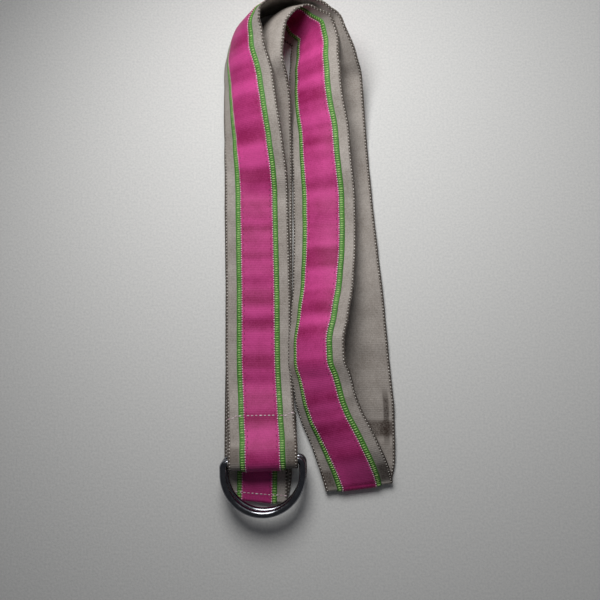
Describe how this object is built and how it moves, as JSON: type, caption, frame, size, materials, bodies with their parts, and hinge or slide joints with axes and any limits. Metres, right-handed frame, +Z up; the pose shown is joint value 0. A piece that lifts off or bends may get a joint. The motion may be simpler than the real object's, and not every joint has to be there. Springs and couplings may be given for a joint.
{
  "type": "double ring belt",
  "caption": "Long striped ribbon belt with two black metal D rings sewn into one end, lying in a loose hank.",
  "frame": {"origin": "centre of the hank's footprint, on the surface it lies on", "axes": "+Z up, +Y along the hank from the rings to the two folded loops, +X towards the limb that has no ring"},
  "size_m": [0.1018, 0.3075, 0.0371],
  "materials": {
    "webbing": "matt woven webbing",
    "green_ribbon": "semi-matt ribbed ribbon",
    "pink_ribbon": "silky ribbed ribbon",
    "ring_metal": "polished black nickel"
  },
  "bodies": {
    "strap": {"webbing_strap": "webbing", "green_ribbon": "green_ribbon", "pink_ribbon": "pink_ribbon"},
    "lower_ring": {"lower_d_ring": "ring_metal"},
    "upper_ring": {"upper_d_ring": "ring_metal"}
  },
  "joints": [
    {"name": "ring_pair_in_eye", "type": "hinge", "parent": "strap", "child": "lower_ring", "pos_m": [-0.02424, -0.1222, 0.01188], "axis": [-0.999, -0.0436, 0], "range_deg": [0, 75]},
    {"name": "upper_ring_on_bar", "type": "hinge", "parent": "lower_ring", "child": "upper_ring", "pos_m": [-0.02451, -0.12276, 0.01388], "axis": [-0.999, -0.0436, 0], "range_deg": [0, 75]}
  ]
}
